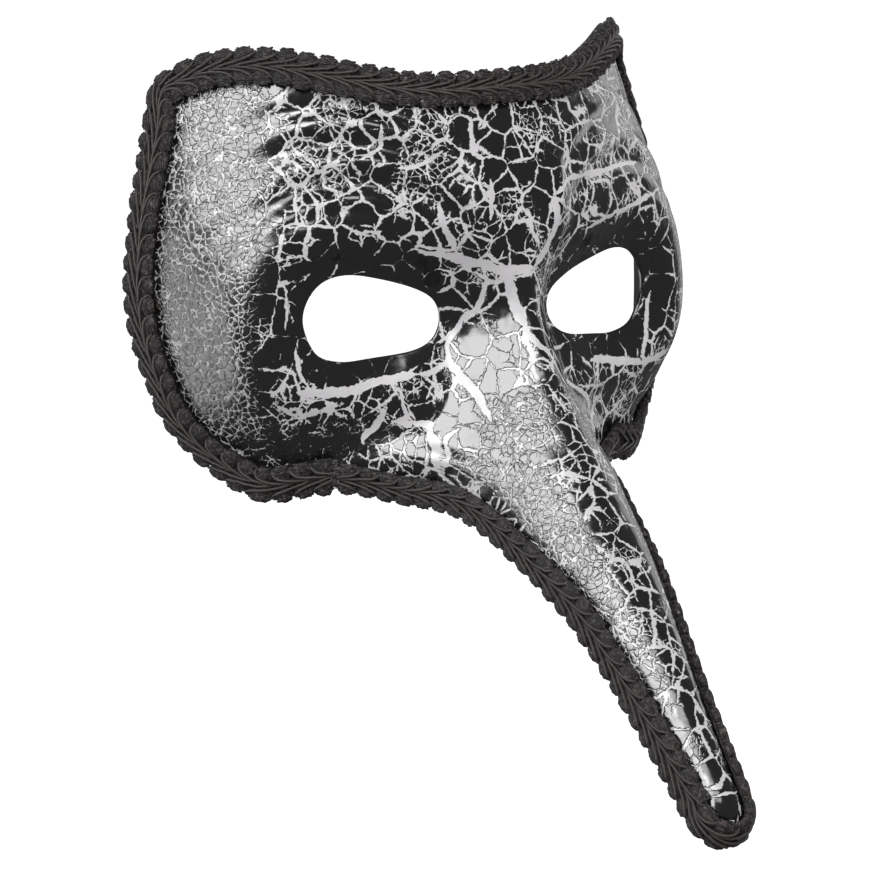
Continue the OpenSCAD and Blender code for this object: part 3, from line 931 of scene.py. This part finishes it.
class Band:
    """The strip along an edge: x runs along it in mm, d in from the edge, h up from the shell."""

    MID = 3.4

    def __init__(self, ribs, middle, sign):
        half = np.array(ribs)
        flipped = half[::-1] * np.array([-1, 1, 1])
        # from the left side of the mask to the right
        self.ribs = np.concatenate([half, [np.array(middle)], flipped])[::-1]
        self.sign = -sign
        s = np.linspace(0, len(self.ribs) - 1, 40 * len(self.ribs))
        run = length_along(self.on(s, self.MID))
        self.s, self.run, self.length = s, run, run[-1]

    def on(self, s, d):
        """The shell's bare surface at rib s, d in from the edge."""
        r = self.ribs
        n = len(r)
        s, d = np.broadcast_arrays(np.asarray(s, float), np.asarray(d, float))
        i = np.clip(np.floor(s).astype(int), 0, n - 2)
        e = extend(r)
        w = four((s - i)[..., None, None])
        here = sum(w[k] * e[i + k] for k in range(4))
        t = (d / RIB_D)[..., None]
        return (
            here[..., 0, :] * ((t - 1) * (t - 2) / 2)
            + here[..., 1, :] * (t * (2 - t))
            + here[..., 2, :] * (t * (t - 1) / 2)
        )

    def station(self, x):
        """The rib, with its fraction, that stands at x."""
        first = (self.s[1] - self.s[0]) / (self.run[1] - self.run[0])
        last = (self.s[-1] - self.s[-2]) / (self.run[-1] - self.run[-2])
        s = np.interp(x, self.run, self.s)
        s = s + np.minimum(x, 0) * first
        return s + np.maximum(x - self.length, 0) * last

    def up(self, x, d):
        s = self.station(x)
        ds = self.on(s + 0.05, d) - self.on(s - 0.05, d)
        dd = self.on(s, d + 0.1) - self.on(s, d - 0.1)
        return self.sign * unit(np.cross(ds, dd))

    def at(self, x, d, h):
        x, d, h = np.broadcast_arrays(*(np.asarray(a, float) for a in (x, d, h)))
        return self.on(self.station(x), d) + self.up(x, d) * h[..., None]


SPINE_D = 3.5  # where the two rows of cords meet
LOBE_LOW = 0.6
LOBE_TOP = 2.75
CORE_SHARE = 0.93  # how much of a lobe its core fills
CORE_RINGS, CORE_SIDES = 7, 10
TURNS = 8  # of yarn over a lobe
ARC_POINTS = 12


def lobe_shape(x0, side, rng):
    """Centre and half sizes of one plump lobe; side is -1 past the edge, +1 inward."""
    grow = 1 + rng.uniform(-0.07, 0.07)
    near = SPINE_D + side * 0.75
    far = BRAID_IN - 0.15 if side > 0 else -BRAID_OUT + 0.15
    far += side * rng.uniform(-0.25, 0.12)
    x = x0 + rng.uniform(-0.15, 0.15)
    centre = np.array([x, (near + far) / 2, (LOBE_LOW + LOBE_TOP) / 2])
    tall = (LOBE_TOP - LOBE_LOW) / 2 * grow
    return centre, np.array([LOBE_PITCH * 0.52 * grow, abs(far - near) / 2, tall])


def lobe_rim(b):
    """Half width of a lobe, as a share, at b along it: fuller than a ball."""
    return np.maximum(1 - np.abs(b) ** 2.1, 0.02) ** 0.5


def lobe_point(centre, half, side, a, b, c):
    """A point of the lobe from the unit ball: a along, b outward, c up. It leans forward as it
    leaves the spine, and is fuller at its outer end."""
    x = centre[0] + half[0] * a * (0.96 + 0.04 * b) + 0.2 * b
    d = centre[1] + side * half[1] * b
    h = centre[2] + half[2] * c * (0.92 + 0.08 * b) - 0.15 * b
    return x, d, h


def core_points(band, centre, half, side):
    """A ball's rings from end to end, then its two ends."""
    lat = np.linspace(-math.pi / 2, math.pi / 2, CORE_RINGS + 2)[1:-1]
    lon = 2 * math.pi * np.arange(CORE_SIDES) / CORE_SIDES
    k = CORE_SHARE
    b = np.sin(lat)[:, None] * np.ones(CORE_SIDES)
    a = lobe_rim(b) * np.cos(lon)
    c = lobe_rim(b) * np.sin(lon)
    rings = band.at(*lobe_point(centre, half, side, a * k, b * k, c * k)).reshape(-1, 3)
    o = np.zeros(2)
    ends = lobe_point(centre, half, side, o, np.array([-k, k]), o)
    return np.concatenate([rings, band.at(*ends)])


def core_faces():
    faces = quad_rows(0, CORE_RINGS, CORE_SIDES)
    low, last = CORE_RINGS * CORE_SIDES, (CORE_RINGS - 1) * CORE_SIDES
    for j in range(CORE_SIDES):
        j2 = (j + 1) % CORE_SIDES
        faces += [[low, j2, j], [low + 1, last + j, last + j2]]
    return faces


def arcs():
    """Angle over a lobe, and place along it, of arcs laid one after another."""
    f = np.linspace(0, 1, ARC_POINTS)
    over = [-35 + 250 * f, 215 - 250 * f]
    angle = np.concatenate([np.radians(over[turn % 2]) for turn in range(TURNS)])
    return angle, np.concatenate([
        -0.93 + 1.86 * (turn + 0.15 + 0.7 * f) / TURNS for turn in range(TURNS)
    ])


def wind_yarn(tubes, band, centre, half, side, rng):
    """Yarn over the top of a lobe, crimped as it goes."""
    phase = rng.uniform(0, 6.28)
    angle, b = arcs()
    n = np.arange(len(b))
    crimp = 1 + 0.07 * np.sin(2.4 * n + phase) + 0.035 * rng.standard_normal(len(b))
    lean = b + 0.05 * np.sin(1.7 * n + phase * 2) + 0.03 * rng.standard_normal(len(b))
    a = np.cos(angle) * lobe_rim(b) * crimp
    c = np.sin(angle) * lobe_rim(b) * crimp
    x, d, h = lobe_point(centre, half, side, a, lean, c)
    line = band.at(x, d, np.maximum(h, 0.35))
    up = band.up(x, d) + 0.3 * rng.standard_normal((len(b), 3))
    thick = THREAD_R * (1 + 0.22 * rng.standard_normal(len(b))).clip(0.6, 1.5)
    tubes.add(line, up, thick)


def places(band):
    """How far apart the lobes stand, and the middle of each along the band."""
    count = int(band.length / LOBE_PITCH)
    pitch = band.length / count
    return pitch, [(k + 0.5) * pitch for k in range(count)]


def lobes(name, band, side, seed):
    """Every lobe of one side of a braid: a core wound with crimped yarn, and the ground."""
    rng = np.random.default_rng(seed)
    tubes = Tubes(4)
    plain = []
    for x in places(band)[1]:
        centre, half = lobe_shape(x, side, rng)
        plain.append((core_points(band, centre, half, side), core_faces()))
        wind_yarn(tubes, band, centre, half, side, rng)
    for points, faces in plain + [web(band, side)]:
        tubes.add_plain(points, faces)
    return tubes.piece(name)


def web(band, side):
    """Ground of the braid under one side's lobes, a low closed strip along the band."""
    x = np.linspace(0, band.length, int(band.length / 1.2))
    near, far = SPINE_D + 0.02 * side, SPINE_D + 3.1 * side
    ring = [(near, 0.62), (near, 1.75), ((near + far) / 2, 1.6), (far, 1.1), (far, 0.62)]
    points = np.stack([band.at(x, d, h) for d, h in ring], 1)
    return points.reshape(-1, 3), closed_tube(0, len(x), len(ring))


# The way of a cord: along in pitches, out from the spine, up. Its last points are counted back
# from the lobe's far end.
BARB_WAY = [
    (-1.85, -0.10, 1.75), (-1.40, 0.10, 2.20), (-0.95, 0.45, 2.60), (-0.50, 0.80, 2.85),
    (-0.05, 1.30, 3.00), (0.28, 1.95, 2.95), (0.44, 2.55, 2.50),
]
BARB_END = [(0.52, 1.45, 1.85), (0.53, 1.05, 1.00)]


def barbs(name, band, side, seed):
    """Wrapped cords that leave the spine one after another and sweep round each lobe."""
    rng = np.random.default_rng(seed)
    tubes = Tubes(7)
    pitch, middles = places(band)
    for x in middles:
        centre, half = lobe_shape(x, side, rng)
        x0 = centre[0] + rng.uniform(-0.12, 0.12)
        far = centre[1] + side * half[1]
        route = [(x0 + a * pitch, SPINE_D + side * d, h) for a, d, h in BARB_WAY]
        route += [(x0 + a * pitch, far - side * d, h) for a, d, h in BARB_END]
        flat = spline(route, 3)
        flat[:, 0] = np.clip(flat[:, 0], 0.3, band.length - 0.3)
        flat += rng.normal(0, 0.035, flat.shape)
        line = band.at(flat[:, 0], flat[:, 1], flat[:, 2])
        keep = np.concatenate([[True], np.linalg.norm(np.diff(line, axis=0), axis=1) > 0.05])
        line, flat = line[keep], flat[keep]
        if len(line) < 4:
            continue
        tubes.add(line, band.up(flat[:, 0], flat[:, 1]), CORD_R)
    cords = len(tubes.faces)
    fray(tubes, band, side, rng)
    piece = tubes.piece(name)
    kinds = np.arange(len(tubes.faces)) >= cords
    piece.data.polygons.foreach_set("material_index", kinds.astype(np.int32))
    return piece


def fray(tubes, band, side, rng):
    """Loose fibres where the braid was cut at either end."""
    inset, points = 0.4, 5
    f = np.linspace(0, 1, points)[:, None]
    for end, way in ((inset, -1), (band.length - inset, 1)):
        for _ in range(FIBRES):
            d = SPINE_D + side * rng.uniform(0, 3.2)
            h = rng.uniform(0.3, 2.3)
            root = band.at(end, d, h)
            ahead = unit(root - band.at(end - 0.6 * way, d, h))
            up = band.up(end, d)
            bend = up * rng.uniform(-0.5, 0.5) + np.cross(ahead, up) * rng.uniform(-0.7, 0.7)
            line = root + ahead * (f * rng.uniform(0.6, 1.9)) + bend * f**2
            tubes.add(line, np.broadcast_to(up, line.shape), FIBRE_R)


# ---- eyelets ----
FLANGE_R = 3.75
BARREL_R = STRAP_BORE_R + 0.7
ROLL_R = 0.35  # of the flange's rim
MOUTH_R = 0.45  # of the rounding at the bore
EYELET_SIDES = 64
EYELET_STEPS = 6


def eyelet_spot():
    """Where the right strap eyelet stands: u, v, point and axis."""
    t = along(EDGE - NEAR_EDGE, EYELET_ROW, 0, 1)
    u, v = walk(EDGE, EYELET_ROW, t, EYELET_IN / EYELET_STEPS, EYELET_STEPS, False)
    return u, v, surf(u, v), out_dir(EDGE - 0.2, EYELET_ROW)


def eyelet(name, side):
    """Rolled flange on the wearer's side and a barrel through the wall."""
    mirror = np.array([side, 1, 1])
    _, _, centre, axis = eyelet_spot()
    centre, axis = centre * mirror, axis * mirror
    back = -SHELL_T - 0.1
    roll = [(FLANGE_R - ROLL_R + ROLL_R * math.sin(a), back - ROLL_R - ROLL_R * math.cos(a))
            for a in np.linspace(0, math.pi, 8)]
    mouth = [(STRAP_BORE_R + MOUTH_R - MOUTH_R * math.sin(a), back - 0.25 - MOUTH_R * math.cos(a))
             for a in np.linspace(0.1, math.pi / 2, 6)]
    front = [(STRAP_BORE_R, 0.0), (BARREL_R - 0.15, 0.0), (BARREL_R, -0.15)]
    profile = [(BARREL_R, back)] + roll[::-1] + mouth + front
    z = unit(axis)
    x = unit(np.cross([0, 0, 1.0], z))
    y = np.cross(z, x)
    points = []
    for k in range(EYELET_SIDES):
        a = 2 * math.pi * k / EYELET_SIDES
        for r, h in profile:
            points.append(centre + (x * math.cos(a) + y * math.sin(a)) * r + z * h)
    faces = quad_rows(0, EYELET_SIDES + 1, len(profile))
    return make_mesh(name, points, [[i % len(points) for i in f] for f in faces])


# ---- stage, lights and camera ----
def plain_material(name, color, emission):
    m = Nodes(name)
    m.set("Base Color", (*color, 1))
    m.set("Roughness", 0.9)
    m.set("Specular IOR Level", 0.0)
    m.set("Emission Color", (1, 1, 1, 1))
    m.set("Emission Strength", emission)
    return m.mat


def camera_only(o):
    """Keeps a piece out of reflections and bounced light."""
    o.visible_glossy = False
    o.visible_diffuse = False
    o.visible_transmission = False


def floor():
    size, drop = 40.0, -0.45
    corners = [(-size, -size, drop), (size, -size, drop), (size, size, drop), (-size, size, drop)]
    plane = make_mesh("floor", np.array(corners) / MM, [[0, 1, 2, 3]], smooth=False)
    plane.data.materials.append(plain_material("pale_floor", (0.85, 0.85, 0.85), 0.95))
    camera_only(plane)


def backdrop():
    """A pale wall all round, far behind everything."""
    n, radius, low, high = 48, 39.0, -1.0, 30.0
    points = [(radius * math.cos(2 * math.pi * k / n), radius * math.sin(2 * math.pi * k / n), z)
              for z in (low, high) for k in range(n)]
    faces = [[k, (k + 1) % n, n + (k + 1) % n, n + k] for k in range(n)]
    faces.append([n + k for k in range(n)])
    wall = make_mesh("backdrop", np.array(points) / MM, faces, smooth=False)
    wall.data.materials.append(plain_material("pale_wall", (0, 0, 0), 1.0))
    camera_only(wall)
    wall.visible_shadow = False


def direction(az, el):
    """Unit way out from the mask, in degrees: az is 0 in front and grows towards its right."""
    a, e = math.radians(az), math.radians(el)
    return Vector((math.sin(a) * math.cos(e), -math.cos(a) * math.cos(e), math.sin(e)))


def softbox(name, az, el, distance, width, height, radiance, glossy=True, diffuse=True):
    """Area light that faces the mask, in metres."""
    way = direction(az, el)
    light = bpy.data.lights.new(name, "AREA")
    light.shape = "RECTANGLE"
    light.size, light.size_y = width, height
    light.energy = radiance * math.pi * width * height
    lamp = bpy.data.objects.new(name, light)
    lamp.location = way * distance
    lamp.rotation_euler = (-way).to_track_quat("-Z", "Y").to_euler()
    lamp.visible_camera = False
    lamp.visible_glossy = glossy
    lamp.visible_diffuse = diffuse
    bpy.context.scene.collection.objects.link(lamp)


def lights():
    world = bpy.data.worlds.new("studio")
    bpy.context.scene.world = world
    world.use_nodes = True
    background = world.node_tree.nodes["Background"]
    background.inputs["Color"].default_value = (1, 1, 1, 1)
    background.inputs["Strength"].default_value = 0.15
    softbox("key_softbox", -78, 36, 1.6, 1.30, 1.15, 8.5, diffuse=False)
    softbox("key_fill", -78, 36, 1.6, 1.30, 1.15, 1.6, glossy=False)
    softbox("low_panel", -122, -16, 1.6, 1.3, 1.4, 2.8, diffuse=False)
    softbox("brow_panel", -38, 43, 1.8, 1.0, 0.45, 5.0, diffuse=False)
    softbox("front_fill", -25, 25, 2.0, 1.6, 1.6, 3.9, glossy=False)
    softbox("right_fill", 50, 20, 2.0, 1.6, 1.6, 1.4, glossy=False)
    softbox("right_panel", 112, 8, 2.0, 1.0, 1.6, 1.1)


CAM_AZ, CAM_EL = -35, 10
CAM_BACK, CAM_LEFT, CAM_DOWN = 1600, 11.19, 31.31  # mm from the origin
CAM_LENS, CAM_SENSOR, CAM_CLIP = 277.4, 36.0, 200.0


def camera():
    a = math.radians(CAM_AZ)
    back = direction(CAM_AZ, CAM_EL)
    right = Vector((math.cos(a), math.sin(a), 0))
    up = back.cross(right)
    data = bpy.data.cameras.new("camera")
    data.lens, data.sensor_width, data.clip_end = CAM_LENS, CAM_SENSOR, CAM_CLIP
    cam = bpy.data.objects.new("camera", data)
    cam.location = (back * CAM_BACK - right * CAM_LEFT - up * CAM_DOWN) * MM
    cam.rotation_euler = back.to_track_quat("Z", "Y").to_euler()
    bpy.context.scene.collection.objects.link(cam)
    bpy.context.scene.camera = cam


# ---- putting it together ----
def hand_over(piece, materials, slot, *nodes):
    for material in materials:
        piece.data.materials.append(material)
    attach(piece, ROOT)
    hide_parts(*nodes)


def main():
    camera()
    lights()
    floor()
    backdrop()
    bpy.context.scene.view_settings.view_transform = "Standard"

    shell, u, v, co = build_shell()
    paint_rifts(shell, co)
    paint_zones(shell, u, v, co)
    hand_over(shell, [crackle_lacquer(), shell_inside()], "shell", "shell")

    yarn, cord, fibre = boucle_yarn(), gimp_cord(), cut_fibre()
    metal, glue = blackened_brass(), hot_glue()
    bands = {"face": Band(*face_ribs(), 1), "nose": Band(*nose_ribs(), -1)}
    for seed, (part, band) in enumerate(bands.items()):
        for word, side in (("outer", -1), ("inner", 1)):
            fluff = lobes(f"{part}_braid_{word}_lobes", band, side, 10 * seed + side + 2)
            hand_over(fluff, [yarn], "braid_loops", f"{part}_braid_{word}_loops")
            cords = barbs(f"{part}_braid_{word}_cords", band, side, 100 + 10 * seed + side)
            hand_over(cords, [cord, fibre], "braid_cord", f"{part}_braid_spine_{word}")
        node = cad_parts[f"{part}_braid_glue"]
        node.data.materials.clear()
        node.data.materials.append(glue)

    for side, name in ((1, "right"), (-1, "left")):
        ring = eyelet(f"eyelet_{name}", side)
        hand_over(ring, [metal], "eyelet", f"strap_eyelet_{name}")


def corners(box):
    return [[float(x) for x in corner] for corner in box]


main()
